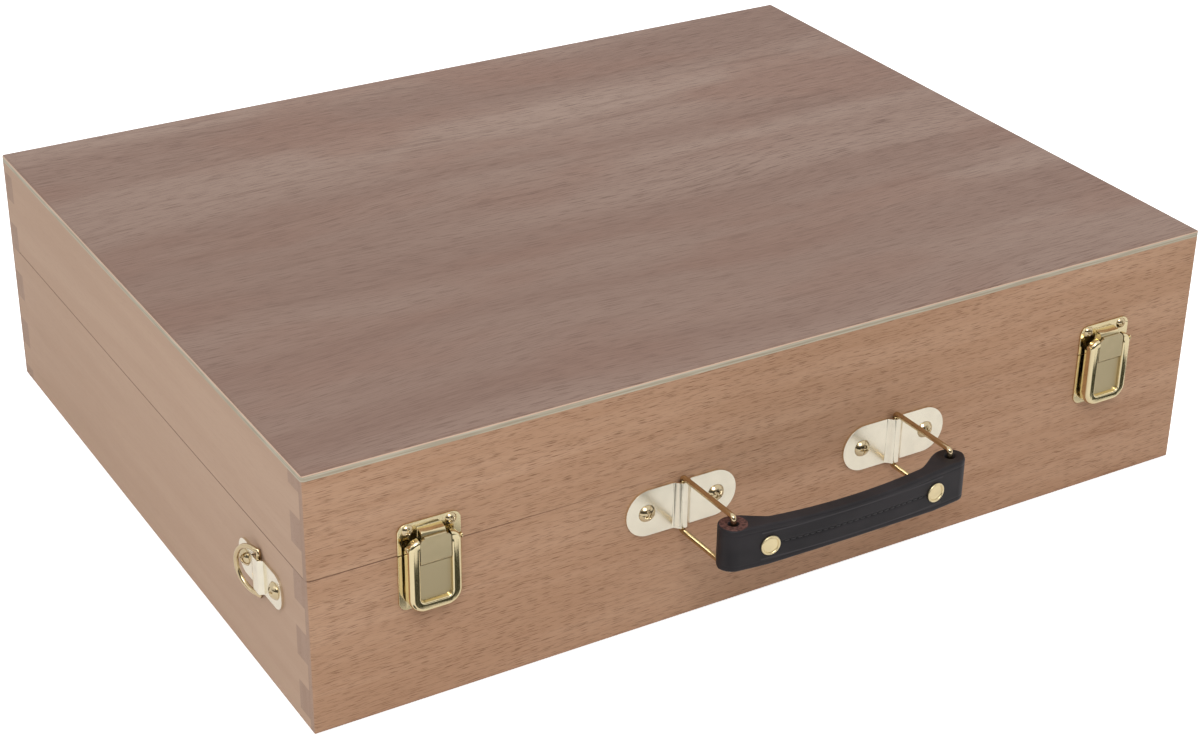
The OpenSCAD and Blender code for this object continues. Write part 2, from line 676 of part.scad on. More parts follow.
latch_lever(1);  // latch_lever_right
tongue_pin(-1);  // tongue_pin_left
tongue_pin(1);  // tongue_pin_right
latch_tongue(-1);  // latch_tongue_left
latch_tongue(1);  // latch_tongue_right
handle_bracket(-1);  // handle_bracket_left
handle_bracket(1);  // handle_bracket_right
handle_bracket_screws();
handle_loop(-1);  // handle_loop_left
handle_loop(1);  // handle_loop_right
handle_grip();
handle_rivets();
ring_plate(-1);  // ring_plate_left
ring_plate(1);  // ring_plate_right
ring_plate_screws();
strap_ring(-1);  // strap_ring_left
strap_ring(1);  // strap_ring_right
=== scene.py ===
# Brush box with a hinged lid: beech boards with lapped fingers, a plywood top, brass draw
# latches, a leather handle on wire loops and a strap ring on each end.
# Lengths are metres, in the frame of the CAD model: the front faces -Y and Z is up.
import math

import bmesh
import bpy
import numpy as np
from mathutils import Matrix, Vector


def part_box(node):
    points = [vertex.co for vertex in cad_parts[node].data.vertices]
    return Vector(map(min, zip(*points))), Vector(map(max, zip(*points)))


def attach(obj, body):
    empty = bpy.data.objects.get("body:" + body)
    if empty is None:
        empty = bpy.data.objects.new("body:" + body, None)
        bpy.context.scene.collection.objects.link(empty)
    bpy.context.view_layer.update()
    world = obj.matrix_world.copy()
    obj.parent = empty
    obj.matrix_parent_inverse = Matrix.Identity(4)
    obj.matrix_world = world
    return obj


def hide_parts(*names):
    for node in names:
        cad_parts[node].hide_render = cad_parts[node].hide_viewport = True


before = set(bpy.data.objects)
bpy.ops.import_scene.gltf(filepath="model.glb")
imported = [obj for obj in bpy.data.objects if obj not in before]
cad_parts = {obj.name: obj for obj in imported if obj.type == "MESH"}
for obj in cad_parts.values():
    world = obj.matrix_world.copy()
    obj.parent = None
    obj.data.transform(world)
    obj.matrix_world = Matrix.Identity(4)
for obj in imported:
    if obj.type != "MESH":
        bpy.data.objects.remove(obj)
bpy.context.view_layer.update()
MM = 0.001

# Camera
# The photo's camera stands to the left of the front and looks down on the box. Its place
# and its lens come from the corners of a box 450 mm long.
camera_place = Vector((-0.5256, -0.8930, 0.5802))
camera_turn = math.radians(30.95)
camera_drop = math.radians(28.19)
camera_roll = math.radians(0.79)

camera = bpy.data.objects.new("camera", bpy.data.cameras.new("camera"))
camera.data.lens = 71.9
camera.data.sensor_width = 36
camera.matrix_world = (Matrix.Translation(camera_place) @ Matrix.Rotation(-camera_turn, 4, "Z")
                       @ Matrix.Rotation(math.pi / 2 - camera_drop, 4, "X")
                       @ Matrix.Rotation(camera_roll, 4, "Z"))
bpy.context.scene.collection.objects.link(camera)
bpy.context.scene.camera = camera
bpy.context.scene.view_settings.view_transform = "Standard"


# Studio
# A white floor and a white room behind the box, dimmer on the camera's side, so that polished
# metal has something dark to mirror. Two soft lamps stand above and to the left.
class Shade:
    """One socket of a material. An operator on it adds the Math node that it stands for."""

    def __init__(self, tree, socket=None):
        self.tree = tree
        self.socket = socket

    def add(self, kind, settings=None, inputs=None, out=0):
        """Adds a shader node, makes its settings first and then its inputs, and returns an output."""
        node = self.tree.nodes.new("ShaderNode" + kind)
        for name, value in (settings or {}).items():
            setattr(node, name, value)
        for name, value in (inputs or {}).items():
            if isinstance(value, Shade):
                self.tree.links.new(value.socket, node.inputs[name])
            else:
                node.inputs[name].default_value = value
        return Shade(self.tree, node.outputs[out])

    def maths(self, operation, a, b=0.0):
        return self.add("Math", {"operation": operation}, {0: a, 1: b})

    def __add__(self, other):
        return self.maths("ADD", self, other)

    def __radd__(self, other):
        return self.maths("ADD", other, self)

    def __sub__(self, other):
        return self.maths("SUBTRACT", self, other)

    def __rsub__(self, other):
        return self.maths("SUBTRACT", other, self)

    def __mul__(self, other):
        return self.maths("MULTIPLY", self, other)

    def __rmul__(self, other):
        return self.maths("MULTIPLY", other, self)

    def __truediv__(self, other):
        return self.maths("DIVIDE", self, other)

    def __gt__(self, other):
        return self.maths("GREATER_THAN", self, other)

    def __lt__(self, other):
        return self.maths("LESS_THAN", self, other)

    def __abs__(self):
        return self.maths("ABSOLUTE", self)

    def max(self, other):
        return self.maths("MAXIMUM", self, other)

    def rise(self, low, high):
        """0 below low, 1 above high and a smooth step between them. High may be the lower one."""
        return self.add("MapRange", {"interpolation_type": "SMOOTHSTEP"},
                        {"Value": self, "From Min": low, "From Max": high})

    def mix(self, a, b):
        """Colour a where this is 0 and colour b where it is 1."""
        a, b = [c if isinstance(c, Shade) else (*c, 1) for c in (a, b)]
        return self.add("Mix", {"data_type": "RGBA"}, {0: self, 6: a, 7: b}, out=2)

    def split(self):
        """The three parts of a vector."""
        return [self.add("SeparateXYZ", None, {0: self}, out=i) for i in range(3)]

    def join(self, x, y, z):
        return self.add("CombineXYZ", None, {0: x, 1: y, 2: z})

    def noise(self, where, detail=2.0, rough=0.5, twist=0.0):
        return self.add("TexNoise", None, {"Vector": where, "Scale": 1.0, "Detail": detail,
                                           "Roughness": rough, "Distortion": twist})


def blank_material(name):
    """A new material with no nodes but its output, and the pen that draws in it."""
    material = bpy.data.materials.new(name)
    material.use_nodes = True
    material.node_tree.nodes.clear()
    return material, Shade(material.node_tree)


def close(pen, shader, kind="Material"):
    """Sends a shader to the output."""
    output = pen.tree.nodes.new("ShaderNodeOutput" + kind)
    pen.tree.links.new(shader.socket, output.inputs["Surface"])


def link_object(name, mesh, material=None):
    """Puts a mesh into the scene as an object at the origin."""
    thing = bpy.data.objects.new(name, mesh)
    bpy.context.scene.collection.objects.link(thing)
    if material:
        mesh.materials.append(material)
    return thing


floor_colour = (0.86, 0.86, 0.86)
floor_glow = 0.72
mirrored_glow = 0.03
floor_half = 4.0
floor_drop = 0.2 * MM
SQUARE = ((-1, -1), (1, -1), (1, 1), (-1, 1))

world = bpy.data.worlds.new("world")
bpy.context.scene.world = world
world.use_nodes = True
world.node_tree.nodes.clear()
room = Shade(world.node_tree)
toward_x, toward_y, toward_z = room.add("TexCoord", None, None, out=0).split()
camera_side = (toward_y * -0.86 + toward_x * -0.51).rise(0.05, 0.55)
low_front = camera_side * toward_z.rise(0.62, 0.40)
room_colour = low_front.mix((0.93, 0.93, 0.94), (0.10, 0.095, 0.085))
seen = room.add("LightPath", None, None, out=0)
room_colour = seen.mix(room_colour, (1.0, 1.0, 1.0))
close(room, room.add("Background", None, {"Color": room_colour, "Strength": 1.0}), "World")

floor_material, pen = blank_material("white floor")
by_camera = pen.add("LightPath")
mirrored = Shade(pen.tree, by_camera.socket.node.outputs["Is Glossy Ray"])
through = Shade(pen.tree, by_camera.socket.node.outputs["Is Transmission Ray"])
floor_light = by_camera * floor_glow + mirrored.max(through) * mirrored_glow
glow = pen.add("Emission", None, {"Color": (1, 1, 1, 1), "Strength": floor_light})
matt = pen.add("BsdfDiffuse", None, {"Color": (*floor_colour, 1)})
close(pen, pen.add("AddShader", None, {0: glow, 1: matt}))
floor_mesh = bpy.data.meshes.new("floor")
floor_mesh.from_pydata([(a * floor_half, b * floor_half, 0) for a, b in SQUARE], [], [(0, 1, 2, 3)])
floor = link_object("floor", floor_mesh, floor_material)
floor.location.z = -floor_drop


def softbox(name, place, aim, size, power):
    """A square soft lamp at a place, turned towards a point."""
    light = bpy.data.lights.new(name, "AREA")
    light.size = size
    light.energy = power
    lamp = bpy.data.objects.new(name, light)
    lamp.location = place
    lamp.rotation_euler = (Vector(aim) - Vector(place)).to_track_quat("-Z", "Y").to_euler()
    bpy.context.scene.collection.objects.link(lamp)


softbox("key lamp", (-0.7, -1.5, 1.8), (0, 0, 0.05), 1.1, 20)
softbox("side lamp", (-2.0, -0.2, 1.0), (0, 0, 0.05), 1.2, 3)


def dark_card(name, place, way, half):
    """A small dark card on the floor, where a polished plate at a place, facing a way, mirrors it
    to the camera. Only mirrors see it."""
    view = (Vector(place) - camera_place).normalized()
    seen_along = view - 2 * view.dot(Vector(way)) * Vector(way)
    spot = Vector(place) + seen_along * (place[2] / -seen_along.z)
    card_mesh = bpy.data.meshes.new(name)
    corners = [(spot.x + a * half[0], spot.y + b * half[1], card_lift) for a, b in SQUARE]
    card_mesh.from_pydata(corners, [], [(0, 1, 2, 3)])
    card = link_object(name, card_mesh, card_material)
    card.visible_camera = card.visible_diffuse = card.visible_shadow = False


card_lift = 1 * MM
latch_card, ring_card = (30 * MM, 25 * MM), (13 * MM, 17 * MM)
lever_share = 0.4
wall_in, wall_aside = 1.2 * MM, 3.4 * MM
card_material, pen = blank_material("dark card")
close(pen, pen.add("BsdfDiffuse", None, {"Color": (0.055, 0.058, 0.045, 1)}))
for side, way in (("left", -1), ("right", 1)):
    low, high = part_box(f"latch_lever_{side}")
    lever_z = low.z + (high.z - low.z) * lever_share
    dark_card(f"card_latch_{side}", ((low.x + high.x) / 2, low.y, lever_z), (0, -1, 0), latch_card)
    low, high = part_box(f"ring_plate_{side}")
    wall_x = (low.x + wall_in) if way < 0 else (high.x - wall_in)
    wall_y = (low.y + high.y) / 2 - wall_aside
    dark_card(f"card_ring_{side}", (wall_x, wall_y, (low.z + high.z) / 2), (0, -1, 0), ring_card)

# Beech boards
# Planed beech, 12.5 mm thick, lapped and finger-jointed at the corners, sawn through into base
# and lid after gluing. The flecks and figure run along each board and cross the saw line.
box_half_x = 225 * MM
box_half_y = 175 * MM
beech_pale = (0.505, 0.310, 0.198)
beech_mid = (0.455, 0.268, 0.164)
beech_dark = (0.335, 0.175, 0.095)
beech_greyed = (0.500, 0.365, 0.275)
fleck_dark = (0.150, 0.070, 0.034)
seam_shade_dark = (0.150, 0.080, 0.050)
end_skin = 0.4 * MM
seam_z = 72.5 * MM
seam_shade = 0.28 * MM
fleck_l, fleck_h = 8.2 * MM, 0.52 * MM
figure_l, figure_h = 160 * MM, 11 * MM


def beech(name, along, tint=0.0, flecks=1.0):
    """Beech whose grain runs along X or Y. A board's figure is noise drawn out along the grain,
    and its flecks are cells fleck_l by fleck_h, each with a short dark dash."""
    material, pen = blank_material(name)
    x, y, z = pen.add("TexCoord", None, None, out=3).split()
    if along == "Y":
        x, y = y, x
    drift = pen.noise(pen.join(x / 0.09, y / 0.05, z / 0.03), 1.0) - 0.5
    height = z + drift * 0.006
    figure = pen.noise(pen.join(x / figure_l, y / 0.02, height / figure_h), 4.0, 0.55)
    broad = pen.noise(pen.join(x / 0.30, y / 0.08, height / 0.035), 1.0)
    fine = pen.noise(pen.join(x / 0.011, y / 0.002, height / 0.00050), 3.0, 0.65)
    colour = figure.rise(0.36, 0.62).mix(beech_pale, beech_mid)
    colour = (broad.rise(0.45, 0.68) * 0.22).mix(colour, beech_dark)
    swirl = pen.noise(pen.join(x / 0.055, y / 0.03, height / 0.0075), 3.0, 0.5, 0.4)
    lower_right = x.rise(0.02, 0.16) * z.rise(0.060, 0.030)
    colour = (swirl.rise(0.52, 0.70) * lower_right * 0.55).mix(colour, beech_dark)
    colour = (fine.rise(0.50, 0.74) * 0.42).mix(colour, beech_dark)
    fleck_place = pen.join(x / fleck_l, y / 0.004, (z + drift * 0.002) / fleck_h)
    cells = pen.add("TexVoronoi", {"feature": "F1"}, {"Vector": fleck_place, "Scale": 1.0})
    chance = Shade(pen.tree, cells.socket.node.outputs["Color"]).split()[0]
    dash = cells.rise(0.34, 0.14) * chance.rise(0.05, 0.60)
    patchy = pen.noise(pen.join(x / 0.05, y / 0.05, z / 0.02), 1.0).rise(0.30, 0.60)
    dash = dash * (patchy * 0.4 + 0.6) * flecks
    tiny = pen.noise(pen.join(x / 0.0060, y / 0.002, z / 0.00026), 2.0).rise(0.54, 0.70)
    colour = (tiny * 0.50 * flecks).mix(colour, fleck_dark)
    colour = (dash * 0.74).mix(colour, fleck_dark)
    colour = pen.add("Mix", {"data_type": "RGBA"}, {0: tint, 6: colour, 7: (*beech_greyed, 1)}, out=2)
    # Painted shade of the seam gap: a thin dark band along the seam, full on the end boards, and on the
    # front and back boards only towards their left ends.
    painted_seam_shade = (abs(z - seam_z) < seam_shade) * (x.rise(-0.04, -0.20) if along == "X" else 1.0)
    colour = (painted_seam_shade * 0.75).mix(colour, seam_shade_dark)
    half_length = box_half_x if along == "X" else box_half_y
    end_grain = (abs(x) - half_length) > -end_skin
    speck_place = pen.join(x / 0.004, y / 0.0009, z / 0.0009)
    specks = pen.add("TexVoronoi", {"feature": "F1"}, {"Vector": speck_place, "Scale": 1.0})
    end_colour = (specks.rise(0.35, 0.10) * 0.5).mix((0.405, 0.275, 0.205), (0.27, 0.165, 0.115))
    rings = pen.noise(pen.join(0.0, y / 0.0045, z / 0.05), 2.0)
    end_colour = (rings.rise(0.40, 0.70) * 0.45).mix(end_colour, (0.33, 0.215, 0.155))
    colour = end_grain.mix(colour, end_colour)
    relief = pen.add("Bump", None, {"Strength": 0.35, "Distance": 0.0002, "Height": fine * 0.25 - dash})
    rough = 0.55 + figure * 0.12 + dash * 0.2
    close(pen, pen.add("BsdfPrincipled", None, {"Base Color": colour, "Roughness": rough,
                                                "Specular IOR Level": 0.15, "Normal": relief}))
    return material


def dress(node, material):
    """Gives a CAD node that stays in view its material."""
    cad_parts[node].data.materials.clear()
    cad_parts[node].data.materials.append(material)


cross_beech = beech("beech, grain along the front", "X")
end_beech = beech("beech, grain along the ends", "Y", tint=0.62, flecks=0.22)
for part in ("base", "lid"):
    for side in ("front", "back"):
        dress(f"{part}_{side}_board", cross_beech)
    for side in ("left", "right"):
        dress(f"{part}_{side}_board", end_beech)
dress("long_divider", cross_beech)
for side in ("left", "right"):
    dress(f"cross_divider_{side}", end_beech)

# Plywood top and bottom
# Three plies, 3 mm thick. The top's face veneer is stained grey-brown and stops above the sanded edge,
# where a thin pale band is a painted highlight on the rounded arris. Its inner face and the bottom, let
# into a rebate, are bare.
top_face_z = 119.45 * MM
inner_face_z = 117.03 * MM
arris_z = 119.05 * MM
veneer_mid = (0.262, 0.168, 0.130)
veneer_dark = (0.130, 0.074, 0.056)
veneer_warm = (0.275, 0.160, 0.118)
veneer_pale = (0.345, 0.245, 0.195)
veneer_shade_colour = (0.200, 0.124, 0.094)
arris_highlight_colour = (0.60, 0.42, 0.31)


def veneer(pen, x, y):
    """Open-pored veneer along X: broad soft bands, long streaks and short dark pores."""
    bend = pen.noise(pen.join(x / 0.35, y / 0.10, 0.0), 1.0) - 0.5
    across = y + bend * 0.05
    bands = pen.noise(pen.join(x / 0.9, across / 0.055, 3.0), 2.0)
    streaks = pen.noise(pen.join(x / 0.10, across / 0.0045, 1.0), 3.0, 0.6)
    warm = pen.noise(pen.join(x / 0.12, across / 0.05, 7.0), 2.0)
    fine = pen.noise(pen.join(x / 0.014, across / 0.00060, 5.0), 3.0, 0.70)
    colour = bands.rise(0.38, 0.62).mix(veneer_mid, veneer_pale)
    colour = (warm.rise(0.45, 0.65) * 0.6).mix(colour, veneer_warm)
    colour = (streaks.rise(0.52, 0.75) * 0.35).mix(colour, veneer_dark)
    colour = (fine.rise(0.48, 0.68) * 0.80).mix(colour, veneer_dark)
    colour = (fine.rise(0.46, 0.28) * 0.60).mix(colour, veneer_pale)
    return colour, fine, streaks


def birch(pen, x, y, z):
    """Bare veneer: soft grain along X with broad warm patches."""
    grain = pen.noise(pen.join(x / 0.14, y / 0.006, z / 0.002), 4.0, 0.6)
    patch = pen.noise(pen.join(x / 0.20, y / 0.06, 0.0), 1.0)
    colour = grain.rise(0.35, 0.65).mix((0.56, 0.43, 0.29), (0.47, 0.34, 0.22))
    return (patch.rise(0.4, 0.7) * 0.3).mix(colour, (0.44, 0.31, 0.20)), grain


veneered_top, pen = blank_material("plywood with a stained face")
x, y, z = pen.add("TexCoord", None, None, out=3).split()
face_colour, fine, streaks = veneer(pen, x, y)
# Painted shade: the face veneer darkens towards the near front-left corner.
near_corner_shade = (x * 0.6 + y).rise(0.16, -0.12)
face_colour = (near_corner_shade * 0.45).mix(face_colour, veneer_shade_colour)
edge_noise = pen.noise(pen.join(x / 0.02, y / 0.02, z / 0.0006), 2.0)
edge_colour = edge_noise.rise(0.35, 0.65).mix((0.50, 0.45, 0.345), (0.40, 0.345, 0.255))
core = z.rise(118.5 * MM, 118.3 * MM) * z.rise(117.6 * MM, 117.8 * MM)
edge_colour = (core * 0.30).mix(edge_colour, (0.30, 0.25, 0.18))
# Painted highlight: a thin pale band along the arris, between the sanded edge and the stained face.
colour = (z > arris_z).mix(edge_colour, arris_highlight_colour)
colour = (z > top_face_z).mix(colour, face_colour)
colour = (z > inner_face_z).mix(birch(pen, x, y, z)[0], colour)
relief = pen.add("Bump", None, {"Strength": 0.25, "Distance": 0.00015, "Height": fine * -1.0})
close(pen, pen.add("BsdfPrincipled", None, {"Base Color": colour, "Roughness": 0.52 + streaks * 0.16,
                                            "Specular IOR Level": 0.18, "Normal": relief}))
dress("lid_panel", veneered_top)

birch_ply, pen = blank_material("bare birch plywood")
x, y, z = pen.add("TexCoord", None, None, out=3).split()
colour, grain = birch(pen, x, y, z)
relief = pen.add("Bump", None, {"Strength": 0.2, "Distance": 0.0001, "Height": grain})
close(pen, pen.add("BsdfPrincipled", None, {"Base Color": colour, "Roughness": 0.50 + grain * 0.15,
                                            "Normal": relief}))
dress("base_panel", birch_ply)

# Back hinges
# Two brass stop hinges, rolled from 1.2 mm strip round a 2.4 mm pin, with a fin along each
# barrel that stops the lid. They keep their solids, with eased edges and smooth barrels.
ease = 0.18 * MM


def brass(name, colour, rough, smudge=0.06):
    """Plated brass: an even colour, slightly uneven gloss and faint rubbed marks."""
    material, pen = blank_material(name)
    where = pen.add("TexCoord", None, None, out=3)
    cloud = pen.add("TexNoise", None, {"Vector": where, "Scale": 160.0, "Detail": 3.0})
    rub = pen.add("TexNoise", None, {"Vector": where, "Scale": 900.0, "Detail": 2.0})
    darker = tuple(c * 0.94 for c in colour)
    tone = cloud.rise(0.35, 0.70).mix(colour, darker)
    relief = pen.add("Bump", None, {"Strength": 0.02, "Distance": 0.00003, "Height": rub})
    close(pen, pen.add("BsdfPrincipled", None, {"Base Color": tone, "Metallic": 1.0,
                                                "Roughness": rough + cloud * smudge, "Normal": relief}))
    return material


def eased_copy(node, body, material, width=ease, flat_angle=28):
    """A copy of a CAD node with its loose triangles joined, its flats made whole, its curved
    faces smooth and its edges rounded by a small bevel. It stands for the node."""
    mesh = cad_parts[node].data.copy()
    work = bmesh.new()
    work.from_mesh(mesh)
    bmesh.ops.remove_doubles(work, verts=work.verts, dist=0.002 * MM)
    bmesh.ops.dissolve_limit(work, angle_limit=math.radians(0.5), verts=work.verts, edges=work.edges)
    work.to_mesh(mesh)
    work.free()
    mesh.materials.clear()
    mesh.shade_smooth()
    mesh.set_sharp_from_angle(angle=math.radians(flat_angle))
    piece = link_object("eased_" + node, mesh, material)
    if width > 0:
        bevel = piece.modifiers.new("eased edges", "BEVEL")
        bevel.width = width
        bevel.segments = 2
        bevel.limit_method = "ANGLE"
        bevel.angle_limit = math.radians(flat_angle)
        bevel.harden_normals = True
    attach(piece, body)
    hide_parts(node)


bright_brass = brass("bright brass", (0.83, 0.67, 0.33), 0.16)
for side in ("left", "right"):
    eased_copy(f"hinge_lower_leaf_{side}", "base", bright_brass)
    eased_copy(f"hinge_upper_leaf_{side}", "lid", bright_brass)
    eased_copy(f"hinge_pin_{side}", "base", bright_brass)

# Screws
# Round-headed brass screws with a cross recess. The head is a dome of revolution with the
# recess pressed in, and the shank runs down into the wood.
screw_recess_turn = math.radians(20)


def grid_mesh(name, points, close_u=False, close_v=False):
    """A mesh from an array of points, rows by columns. Each cell is a quad, and a side may close."""
    rows, columns = points.shape[:2]
    index = np.arange(rows * columns).reshape(rows, columns)
    below = np.roll(index, -1, 0) if close_u else index[1:]
    here = index if close_u else index[:-1]
    right_here = np.roll(here, -1, 1)
    right_below = np.roll(below, -1, 1)
    quads = np.stack([here, right_here, right_below, below], -1)
    if not close_v:
        quads = quads[:, :-1]
    quads = quads.reshape(-1, 4)
    mesh = bpy.data.meshes.new(name)
    mesh.from_pydata(points.reshape(-1, 3).tolist(), [], quads.tolist())
    mesh.shade_smooth()
    return mesh


def tidy(mesh):
    """Joins doubled points, closes open ends and turns the faces outwards."""
    work = bmesh.new()
    work.from_mesh(mesh)
    bmesh.ops.remove_doubles(work, verts=work.verts, dist=0.0005 * MM)
    bmesh.ops.holes_fill(work, edges=[e for e in work.edges if e.is_boundary])
    bmesh.ops.recalc_face_normals(work, faces=work.faces)
    work.to_mesh(mesh)
    work.free()
    mesh.shade_smooth()
    return mesh


def merged(name, parts, material):
    """One object from several meshes."""
    work = bmesh.new()
    for part in parts:
        work.from_mesh(part)
    mesh = bpy.data.meshes.new(name)
    work.to_mesh(mesh)
    work.free()
    mesh.shade_smooth()
    return link_object(name, mesh, material)


def turned_to(axis, place, spin=0.0):
    """A matrix that stands a piece made along +Z on an axis at a place."""
    lean = Vector((0, 0, 1)).rotation_difference(Vector(axis)).to_matrix().to_4x4()
    return Matrix.Translation(place) @ lean @ Matrix.Rotation(spin, 4, "Z")


def screw_mesh(head_r, head_h, shank_r, length):
    """Rings round Z. The radius falls from the rim to nothing while the height follows a circle,
    less a cross recess; below the rim the profile runs down the shank."""
    dome_r = (head_r ** 2 + head_h ** 2) / (2 * head_h)
    half_l, half_w, deep, soft = 0.54 * head_r, 0.115 * head_r, 0.6 * head_h, 0.04 * head_r
    radius = head_r * np.linspace(1, 0.02, 26)
    turn = np.linspace(0, 2 * np.pi, 80, endpoint=False)
    r, a = np.meshgrid(radius, turn, indexing="ij")
    x, y = r * np.cos(a), r * np.sin(a)
    z = head_h - dome_r + np.sqrt(dome_r ** 2 - r ** 2)
    u = x * np.cos(screw_recess_turn) + y * np.sin(screw_recess_turn)
    v = -x * np.sin(screw_recess_turn) + y * np.cos(screw_recess_turn)

    def slot(long, wide):
        inside = np.minimum(half_l - np.abs(long), half_w - np.abs(wide))
        return np.clip(inside / soft + 0.5, 0, 1)

    depth = np.maximum(slot(u, v), slot(v, u)) * deep
    z = z - depth * (1 - 0.45 * (r / half_l).clip(0, 1))
    head = np.stack([x, y, z], -1)
    shank_ring = np.array([0.3, 1, 1, head_r / shank_r]) * shank_r
    shank_z = np.array([-length, -length + shank_r, -0.02 * MM, 0.0])
    r, a = np.meshgrid(shank_ring, turn, indexing="ij")
    shank = np.stack([r * np.cos(a), r * np.sin(a), np.repeat(shank_z[:, None], len(turn), 1)], -1)
    return tidy(grid_mesh("screw", np.concatenate([shank, head[1:]]), close_v=True))


small_screw = screw_mesh(2.6 * MM, 1.5 * MM, 1.2 * MM, 9 * MM)
round_screw = screw_mesh(4.0 * MM, 2.4 * MM, 1.8 * MM, 10 * MM)
screw_brass = brass("screw brass", (0.62, 0.50, 0.31), 0.09)


def screws(node, places, body, one_screw=small_screw):
    """Screws at (place, axis) pairs, standing for one CAD node."""
    parts = []
    for number, (place, axis) in enumerate(places):
        part = one_screw.copy()
        part.transform(turned_to(axis, place, 0.5 * number))
        parts.append(part)
    piece = merged("cross_" + node, parts, screw_brass)
    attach(piece, body)
    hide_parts(node)


def middle(node):
    low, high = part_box(node)
    return (low + high) / 2


hinge_screw_gap = 40 / 3 * MM
hinge_leaf_h = 22 * MM
middle_screw, outer_screw = 0.74, 0.46
hinge_face_y = box_half_y + 1.2 * MM
for level, body, way in (("lower", "base", -1), ("upper", "lid", 1)):
    spots = []
    for side in ("left", "right"):
        centre_x = middle(f"hinge_{level}_leaf_{side}").x
        for step in (-1, 0, 1):
            height = seam_z + way * hinge_leaf_h * (middle_screw if step == 0 else outer_screw)
            spots.append((Vector((centre_x + step * hinge_screw_gap, hinge_face_y, height)), (0, 1, 0)))
    screws(f"hinge_{level}_screws", spots, body)

# Draw latches
# Pressed brass: a plate on the base with two ears, a lever with a rolled rim that pivots on
# them, a tongue pinned between the lever's rails, and a strike plate with a keeper on the lid.
latch_face_y = -box_half_y - 1.0 * MM
strike_screw_x, strike_screw_z = 9.5 * MM, seam_z + 10.8 * MM
latch_screw_x, latch_screw_z = 5 * MM, seam_z - 21.5 * MM
polished_gold = (0.78, 0.66, 0.40)
# Satin brass is rougher than the polished brass, and its darker colour is painted shade. The lever's panel
# and the tongue use it.
shaded_satin_gold = (0.56, 0.47, 0.29)
latch_brass = brass("latch brass", polished_gold, 0.13)
shaded_satin_brass = brass("satin latch brass with painted shade", shaded_satin_gold, 0.40)
window_half, panel_face_y = 7.3 * MM, -181.2 * MM
panel_bottom, panel_top = 52.4 * MM, 68.6 * MM


def lever_brass(side):
    """Polished on the rim and satin on the panel inside it, which lies back between the rails. The panel is
    rougher, and its darker colour is painted shade.
    """
    material, pen = blank_material(f"lever brass {side}")
    x, y, z = pen.add("TexCoord", None, None, out=3).split()
    centre_x = middle(f"latch_lever_{side}").x
    panel = (abs(x - centre_x) < window_half) * (z < panel_top) * (y > panel_face_y) * (z > panel_bottom)
    tone = panel.mix(polished_gold, shaded_satin_gold)
    rough = panel * 0.30 + 0.11
    close(pen, pen.add("BsdfPrincipled", None, {"Base Color": tone, "Metallic": 1.0, "Roughness": rough}))
    return material


strike_spots, base_spots = [], []
for side in ("left", "right"):
    centre_x = middle(f"strike_plate_{side}").x
    eased_copy(f"latch_base_{side}", "base", latch_brass)
    eased_copy(f"latch_pivots_{side}", "base", latch_brass, 0.08 * MM)
    eased_copy(f"strike_plate_{side}", "lid", latch_brass, 0.3 * MM)
    eased_copy(f"latch_lever_{side}", f"latch_lever_{side}", lever_brass(side), 0)
    eased_copy(f"tongue_pin_{side}", f"latch_lever_{side}", latch_brass, 0.08 * MM)
    eased_copy(f"latch_tongue_{side}", f"latch_tongue_{side}", shaded_satin_brass, 0.15 * MM)
    for way in (-1, 1):
        upper = Vector((centre_x + way * strike_screw_x, latch_face_y, strike_screw_z))
        lower = Vector((centre_x + way * latch_screw_x, latch_face_y, latch_screw_z))
        strike_spots.append((upper, (0, -1, 0)))
        base_spots.append((lower, (0, -1, 0)))
screws("strike_screws", strike_spots, "lid")
screws("latch_base_screws", base_spots, "base")

# Handle brackets
# Stadium-shaped plates of 1.2 mm brass with an upright channel pressed in the middle, which
# holds the wire loop against the box. The channel flares into the flats on both sides.
plate_t = 1.2 * MM
bracket_low, bracket_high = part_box("handle_bracket_left")
bracket_half_w = (bracket_high.x - bracket_low.x) / 2
bracket_half_h = (bracket_high.z - bracket_low.z) / 2
channel_half, channel_lift, channel_flare = 2.2 * MM, 2.46 * MM, 2.3 * MM
pale_brass = brass("pale brass", (0.86, 0.80, 0.65), 0.20, 0.02)


def pressed_plate(half_w, half_h, end_r, bump_half, bump_lift, flare):
    """Rows are heights v, columns run across. A row's ends follow the plate's rounded corners,
    the columns near the middle stay upright, and the depth is a flat-topped smooth bump."""
    lift_at = np.linspace(0, 1, 17)
    columns = np.concatenate([np.linspace(0, bump_half - 0.5 * flare, 6)[:-1],
                              bump_half - 0.5 * flare + 1.6 * flare * lift_at])
    angle = np.linspace(-np.pi / 2, np.pi / 2, 25)
    straight_h = half_h - end_r
    heights = np.concatenate([-straight_h + end_r * np.sin(angle[angle < 0]),
                              np.linspace(-straight_h, straight_h, 7),
                              straight_h + end_r * np.sin(angle[angle > 0])])
    past = np.clip(np.abs(heights) - straight_h, 0, end_r)
    row_end = half_w - end_r + np.sqrt(end_r ** 2 - past ** 2)
    outer = np.linspace(0, 1, 14)[1:]
    side_x = np.concatenate([np.repeat(columns[None, :], len(heights), 0),
                             columns[-1] + (row_end[:, None] - columns[-1]) * outer[None, :]], 1)
    x = np.concatenate([-side_x[:, :0:-1], side_x], 1)
    step = np.clip((np.abs(x) - bump_half + 0.5 * flare) / (1.5 * flare), 0, 1)
    depth = bump_lift * (1 - step * step * (3 - 2 * step))
    z = np.repeat(heights[:, None], x.shape[1], 1)
    return np.stack([x, -depth, z], -1)


